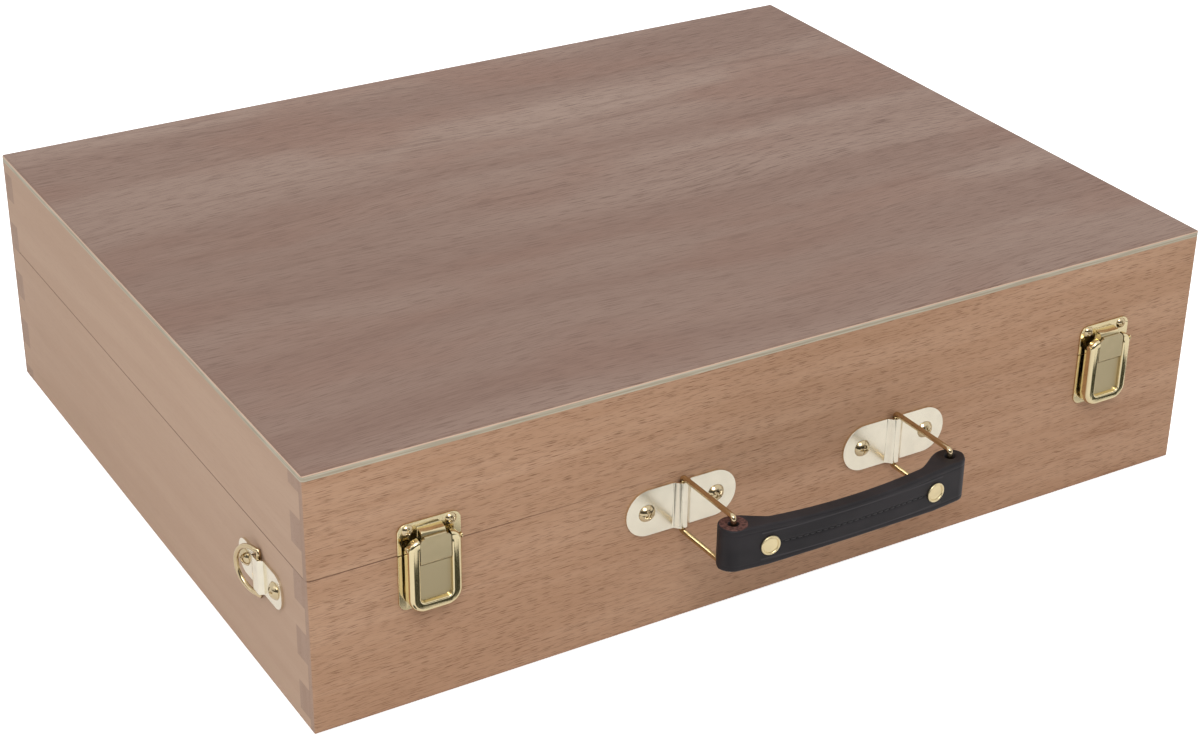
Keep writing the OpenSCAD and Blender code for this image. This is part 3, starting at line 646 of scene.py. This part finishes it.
def plate_piece(name, node, points, matrix, material, body):
    """A pressed sheet given its thickness towards the wood, with eased edges."""
    mesh = grid_mesh(name, points)
    mesh.transform(matrix)
    piece = link_object(name, mesh, material)
    wall = piece.modifiers.new("sheet", "SOLIDIFY")
    wall.thickness = plate_t
    wall.offset = -1
    wall.use_even_offset = True
    bevel = piece.modifiers.new("eased edges", "BEVEL")
    bevel.width = 0.25 * MM
    bevel.segments = 3
    bevel.limit_method = "ANGLE"
    bevel.angle_limit = math.radians(50)
    bevel.harden_normals = True
    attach(piece, body)
    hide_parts(node)


bracket_screw_gap = 17 * MM
bracket_end_r = bracket_half_h - 0.1 * MM
sheet = pressed_plate(bracket_half_w, bracket_half_h, bracket_end_r,
                      channel_half, channel_lift, channel_flare)
bracket_spots = []
for side in ("left", "right"):
    centre = middle(f"handle_bracket_{side}")
    face = Vector((centre.x, -box_half_y - plate_t, centre.z))
    place = Matrix.Translation(face)
    plate_piece(f"bracket_sheet_{side}", f"handle_bracket_{side}", sheet, place, pale_brass, "base")
    for way in (-1, 1):
        bracket_spots.append((face + Vector((way * bracket_screw_gap, 0, 0)), (0, -1, 0)))
screws("handle_bracket_screws", bracket_spots, "base", round_screw)

# Wire loops of the handle
# Brass wire, 2.5 mm, bent into closed oblongs. One long side lies in the bracket's channel and
# the other passes through the roll of the leather grip.
wire_r = 1.25 * MM
loop_bend = 1.5 * MM
loop_axis_y = -box_half_y - wire_r - 0.1 * MM
wire_brass = brass("wire brass", (0.62, 0.49, 0.30), 0.12)
UP = np.array([0, 0, 1.0])


def wire(path, normal, radius, sides=24):
    """A round wire round a closed flat path. Each ring lies across the path, in the plane of
    the path's normal and the cross product of tangent and normal."""
    path = np.asarray(path)
    tangent = np.roll(path, -1, 0) - np.roll(path, 1, 0)
    tangent /= np.linalg.norm(tangent, axis=1, keepdims=True)
    normal = np.asarray(normal, float)
    across = np.cross(tangent, normal)
    turn = np.linspace(0, 2 * np.pi, sides, endpoint=False)
    points = (path[:, None, :] + radius * np.cos(turn)[None, :, None] * normal
              + radius * np.sin(turn)[None, :, None] * across[:, None, :])
    return tidy(grid_mesh("wire", points, close_u=True, close_v=True))


def oblong(length, height, bend):
    """A closed oblong in the plane of s and z, from s = 0 to length, with round corners."""
    corner = np.linspace(0, np.pi / 2, 9)
    far, top = length - bend, height / 2 - bend
    points = []
    for quarter, (s, z) in enumerate(((far, -top), (far, top), (bend, top), (bend, -top))):
        turn = corner + (quarter - 1) * np.pi / 2
        points.append(np.stack([s + bend * np.cos(turn), z + bend * np.sin(turn)], -1))
    return np.concatenate(points)


for side in ("left", "right"):
    low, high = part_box(f"handle_loop_{side}")
    centre_x = middle(f"handle_bracket_{side}").x
    axis_z = (low.z + high.z) / 2
    drift = (low.x + high.x) / 2 - centre_x
    far_y = low.y + wire_r
    reach_y = loop_axis_y - far_y
    swing = math.atan2(2 * drift, reach_y)
    reach = reach_y / math.cos(swing)
    flat = oblong(reach, high.z - low.z - 2 * wire_r, loop_bend)
    direction = np.array([math.sin(swing), -math.cos(swing), 0])
    path = np.array([centre_x, loop_axis_y, axis_z]) + flat[:, :1] * direction + flat[:, 1:] * UP
    normal = np.array([math.cos(swing), math.sin(swing), 0])
    loop = link_object(f"wire_loop_{side}", wire(path, normal, wire_r), wire_brass)
    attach(loop, f"handle_loop_{side}")
    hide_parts(f"handle_loop_{side}")

# Leather grip
# A doubled strap of black-brown leather, rolled round the wires at both ends. It bows away
# from the box between its rolls, with a creased line along its edges and cut edges left brown.
grip_low, grip_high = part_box("handle_grip")
roll_r = 6.6 * MM
hole_r = 2.05 * MM
roll_gap = 110 * MM
grip_t = 7.0 * MM
grip_bow = 3.4 * MM
grip_end_h = 19.5 * MM
grip_mid_h = 17.0 * MM
edge_r = 1.1 * MM
rivet_gap = 84 * MM
stitch_span = rivet_gap - 12 * MM
stitch_sink = 0.32 * MM
valley_half = 0.75 * MM
crease_in, crease_half, crease_deep = 2.4 * MM, 0.28 * MM, 0.16 * MM
pit_deep, pit_edge = 5 * MM, 0.5 * MM
grip_centre = Vector(((grip_low.x + grip_high.x) / 2, grip_high.y - roll_r, (grip_low.z + grip_high.z) / 2))
bow_r = ((roll_gap / 2) ** 2 + grip_bow ** 2) / (2 * grip_bow)
bow_centre = bow_r - grip_bow - roll_r


def strap_front(x):
    """The front of the grip, seen from above: an arc between the rolls, a half circle round each."""
    arc = bow_centre - np.sqrt(bow_r ** 2 - np.minimum(np.abs(x), roll_gap / 2) ** 2)
    past = np.clip(np.abs(x) - roll_gap / 2, 0, roll_r)
    return np.where(past > 0, -np.sqrt(np.maximum(roll_r ** 2 - past ** 2, 0)), arc)


def strap_back(x):
    """The back: a half circle round the roll, then a smooth run down to the strap's own thickness."""
    inner = bow_centre - np.sqrt((bow_r - grip_t) ** 2 - np.minimum(np.abs(x), roll_gap / 2) ** 2)
    off = np.abs(x) - roll_gap / 2
    circle = np.sqrt(np.maximum(roll_r ** 2 - np.clip(off, -roll_r, roll_r) ** 2, 0))
    near = np.clip(-off / (2.6 * roll_r), 0, 1)
    near = near * near * (3 - 2 * near)
    return np.where(off >= 0, circle, roll_r * (1 - near) + inner * near)


def grip_half_height(x):
    """Tallest at the rolls, drawn in to a waist along an arc between the rivets."""
    share = np.clip(np.abs(x) / (rivet_gap / 2), 0, 1)
    return (grip_mid_h + (grip_end_h - grip_mid_h) * share ** 2) / 2


def grip_mesh():
    """Sections across the strap, set along x. A section runs down the front, under, up the back
    and over the top, with rounded corners; round each wire the top and bottom sink into a pit."""
    end = np.sin(np.linspace(0, np.pi / 2, 16))
    roll_x = np.concatenate([np.linspace(-roll_r, 0, 28)[:-1], roll_r * end])
    body_x = np.linspace(0, roll_gap / 2 - roll_r, 70)[:-1]
    half = np.concatenate([body_x, roll_gap / 2 + roll_x])
    x = np.concatenate([-half[:0:-1], half])
    front, back, tall = strap_front(x), strap_back(x), grip_half_height(x)
    width = np.maximum(back - front, 0.02 * MM)
    middle_y = (front + back) / 2
    ease_r = np.minimum(edge_r, width / 2 * 0.98)
    corner = np.linspace(0, np.pi / 2, 7)
    wall = np.linspace(1, -1, 61)
    across = np.linspace(-1, 1, 34)
    rows = []
    for top, side in ((0, -1), (-1, 0), (0, 1), (1, 0)):
        if top == 0:
            z = (tall - ease_r)[:, None] * (wall if side < 0 else -wall)[None, :]
            y = np.repeat((middle_y + side * width / 2)[:, None], z.shape[1], 1)
        else:
            steps = across if top < 0 else -across
            y = middle_y[:, None] + (width / 2 - ease_r)[:, None] * steps[None, :]
            z = np.repeat((top * tall)[:, None], y.shape[1], 1)
            off = np.hypot(x[:, None] - np.sign(x[:, None]) * roll_gap / 2, y)
            z = z - top * pit_deep * np.clip((hole_r - off) / pit_edge + 0.5, 0, 1)
        rows.append(np.stack([np.repeat(x[:, None], y.shape[1], 1), y, z], -1))
        corner_z, corner_y = (side, side) if top == 0 else (top, -top)
        turn = corner[None, 1:-1] if top == 0 else corner[None, ::-1][:, 1:-1]
        corner_mid = middle_y + corner_y * (width / 2 - ease_r)
        y = corner_mid[:, None] + corner_y * ease_r[:, None] * np.cos(turn)
        z = (corner_z * (tall - ease_r))[:, None] + corner_z * ease_r[:, None] * np.sin(turn)
        rows.append(np.stack([np.repeat(x[:, None], y.shape[1], 1), y, z], -1))
    points = np.concatenate(rows, 1)
    z_edge = grip_half_height(points[..., 0]) - crease_in
    groove = np.exp(-((np.abs(points[..., 2]) - z_edge) / crease_half) ** 2)
    on_front = points[..., 1] < middle_y[:, None]
    inward = np.where(on_front, 1, -1) * (width > 3 * MM)[:, None]
    stitched = np.clip((stitch_span / 2 + 1 * MM - np.abs(points[..., 0])) / (2 * MM), 0, 1)
    valley = np.exp(-(points[..., 2] / valley_half) ** 2) * stitched * stitch_sink
    points[..., 1] += inward * (groove * crease_deep + valley)
    return tidy(grid_mesh("grip", points, close_v=True))


leather, pen = blank_material("black brown leather")
x, y, z = pen.add("TexCoord", None, None, out=3).split()
x = x - grip_centre.x
y = y - grip_centre.y
z = z - grip_centre.z
pore_place = pen.join(x / 0.0009, y / 0.0009, z / 0.0009)
pores = pen.add("TexVoronoi", {"feature": "DISTANCE_TO_EDGE"}, {"Vector": pore_place, "Scale": 1.0})
cloud = pen.noise(pen.join(x / 0.02, y / 0.02, z / 0.01), 2.0)
colour = cloud.rise(0.35, 0.70).mix((0.015, 0.0130, 0.0145), (0.024, 0.0205, 0.0225))
# Painted highlight: a paler line along the creases near the top and bottom edges of the strap.
crease_highlight = abs(abs(z) - (grip_mid_h / 2 - 2.3 * MM)).rise(0.5 * MM, 0.1 * MM) * (abs(x) < 0.046)
colour = (crease_highlight * 0.35).mix(colour, (0.085, 0.078, 0.082))
roll_off = ((abs(x) - roll_gap / 2) * (abs(x) - roll_gap / 2) + y * y)
cut = (abs(z) > grip_end_h / 2 - 0.25 * MM) * (roll_off < (5.9 * MM) ** 2)
layers = pen.noise(pen.join(x / 0.0012, y / 0.0012, z / 0.0012), 3.0)
cut_colour = layers.rise(0.35, 0.65).mix((0.045, 0.018, 0.015), (0.135, 0.060, 0.050))
cut_colour = (x > 0.0).mix(cut_colour, (0.016, 0.012, 0.012))
colour = cut.mix(colour, cut_colour)
# Painted shade: the groove along the stitching is darkened to near-black.
stitch_groove_shade = (abs(z) < 0.45 * MM) * (abs(x) < 38.5 * MM)
colour = (stitch_groove_shade * 0.8).mix(colour, (0.004, 0.0035, 0.004))
# Painted shade: near-black in the pits where the wires go into the rolls.
pit = (roll_off < (2.0 * MM) ** 2)
colour = pit.mix(colour, (0.006, 0.005, 0.005))
relief = pen.add("Bump", None, {"Strength": 0.12, "Distance": 0.0001, "Height": pores.rise(0.0, 0.18)})
close(pen, pen.add("BsdfPrincipled", None, {"Base Color": colour, "Roughness": 0.42 + cloud * 0.12,
                                            "Specular IOR Level": 0.22, "Normal": relief}))
mesh = grip_mesh()
mesh.transform(Matrix.Translation(grip_centre))
grip = link_object("leather_grip", mesh, leather)
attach(grip, "grip")
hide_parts("handle_grip")

# Stitching of the grip
# One line of waxed black thread along the middle of each face, between the rivets, pulled
# tight into the leather.
stitch_l = 2.3 * MM
thread_r = 0.38 * MM
stitch_gap = 3.1 * MM
stitch_proud, stitch_flat = 0.03 * MM, 0.7

thread, pen = blank_material("waxed black thread")
x, y, z = pen.add("TexCoord", None, None, out=3).split()
ply_twist = pen.noise(pen.join(x / 0.0004, y / 0.001, z / 0.0003), 1.0)
thread_colour = ply_twist.rise(0.3, 0.7).mix((0.008, 0.007, 0.008), (0.022, 0.019, 0.020))
close(pen, pen.add("BsdfPrincipled", None, {"Base Color": thread_colour, "Roughness": 0.45}))


def stitches():
    """Spindles along the bow: the radius follows the root of a sine along each stitch. They are
    laid out as one array of stitch, face, station and turn."""
    count = int(stitch_span / stitch_gap)
    starts = (np.arange(count) - (count - 1) / 2) * stitch_gap
    along = np.linspace(0, 1, 8)
    turn = np.linspace(0, 2 * np.pi, 8, endpoint=False)
    s = starts[:, None, None] + (along[None, :, None] - 0.5) * stitch_l
    r = thread_r * np.sqrt(np.sin(np.pi * (0.04 + 0.92 * along)))[None, :, None]
    meshes = []
    for radius, sign in ((bow_r, -1), (bow_r - grip_t, 1)):
        a = s / radius
        out = radius + sign * (stitch_sink - stitch_proud) + r * np.cos(turn)[None, None, :] * stitch_flat
        x = out * np.sin(a)
        y = bow_centre - out * np.cos(a)
        z = r * np.sin(turn)[None, None, :] + 0 * a
        points = np.stack(np.broadcast_arrays(x, y, z), -1)
        meshes += [tidy(grid_mesh("stitch", row, close_v=True)) for row in points]
    return meshes


stitching = merged("grip_stitching", stitches(), thread)
stitching.data.transform(Matrix.Translation(grip_centre))
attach(stitching, "grip")

# Rivets of the grip
# Two brass rivets through the strap, with flat caps on both faces. A cap has a rolled rim and
# a slightly dished face.
rivet_r = 4.5 * MM
rivet_cap_t = 1.2 * MM
rivet_brass = brass("rivet brass", (0.80, 0.67, 0.40), 0.28)


def rivet_mesh():
    """A profile turned round Z: shank, underside, rolled rim, dished face."""
    rim = np.linspace(-0.5 * np.pi, np.pi, 12)
    rim_r = 0.5 * MM
    profile_r = np.concatenate([[0.3 * MM, 2 * MM, 2 * MM], rivet_r - rim_r + rim_r * np.cos(rim),
                                np.linspace(rivet_r - 2.2 * rim_r, 0.02 * MM, 8)])
    profile_z = np.concatenate([[-grip_t / 2, -grip_t / 2, 0.0], rim_r + rim_r * np.sin(rim) * 1.1,
                                0.62 * MM + 0.16 * MM * np.linspace(0, 1, 8) ** 2])
    turn = np.linspace(0, 2 * np.pi, 64, endpoint=False)
    r, a = np.meshgrid(profile_r, turn, indexing="ij")
    z = np.repeat(profile_z[:, None], len(turn), 1)
    return tidy(grid_mesh("rivet", np.stack([r * np.cos(a), r * np.sin(a), z], -1), close_v=True))


one_rivet = rivet_mesh()
parts = []
for way in (-1, 1):
    lean = way * math.asin(rivet_gap / 2 / bow_r)
    for radius, sign in ((bow_r, 1), (bow_r - grip_t, -1)):
        out = Vector((math.sin(lean), -math.cos(lean), 0))
        place = grip_centre + Vector((0, bow_centre, 0)) + out * radius
        part = one_rivet.copy()
        part.transform(turned_to(out * sign, place))
        parts.append(part)
rivets = merged("rivet_caps", parts, rivet_brass)
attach(rivets, "grip")
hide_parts("handle_rivets")

# Strap rings
# A pale oval plate on each end with an upright band pressed out of it, which holds a ring of
# brass wire that swings like a door.
ring_wire_r = 1.1 * MM
ring_low, ring_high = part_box("ring_plate_left")
ring_plate_half_w = (ring_high.y - ring_low.y) / 2
ring_plate_half_h = (ring_high.z - ring_low.z) / 2
band_half, band_lift, band_flare = 3.2 * MM, 2.06 * MM, 0.9 * MM
ring_end_r = ring_plate_half_h - 1.5 * MM
ring_screw_gap = 14.5 * MM
ring_lean = math.radians(18)
ring_reach = 14.4 * MM
ring_axis_x = box_half_x + ring_wire_r + 0.1 * MM
sheet = pressed_plate(ring_plate_half_w, ring_plate_half_h, ring_end_r, band_half, band_lift, band_flare)
ring_spots = []
for side, way in (("left", -1), ("right", 1)):
    centre = middle(f"ring_plate_{side}")
    face = Vector((way * (box_half_x + plate_t), centre.y, centre.z))
    place = Matrix.Translation(face) @ Matrix.Rotation(way * math.pi / 2, 4, "Z")
    plate_piece(f"ring_sheet_{side}", f"ring_plate_{side}", sheet, place, pale_brass, "base")
    for step in (-1, 1):
        ring_spots.append((face + Vector((0, step * ring_screw_gap, 0)), (way, 0, 0)))
    low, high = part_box(f"strap_ring_{side}")
    bow = (high.z - low.z) / 2 - ring_wire_r
    turn = np.linspace(-np.pi / 2, np.pi / 2, 33)
    upright = np.linspace(bow, -bow, 12)[:-1]
    s = np.concatenate([[0], ring_reach - bow + bow * np.cos(turn), np.zeros(len(upright))])
    z = np.concatenate([[-bow], bow * np.sin(turn), upright])
    direction = np.array([way * math.sin(ring_lean), math.cos(ring_lean), 0])
    path = np.array([way * ring_axis_x, centre.y, centre.z]) + s[:, None] * direction + z[:, None] * UP
    normal = np.array([direction[1], -direction[0], 0])
    ring = link_object(f"wire_ring_{side}", wire(path, normal, ring_wire_r), wire_brass)
    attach(ring, f"strap_ring_{side}")
    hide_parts(f"strap_ring_{side}")
screws("ring_plate_screws", ring_spots, "base", round_screw)
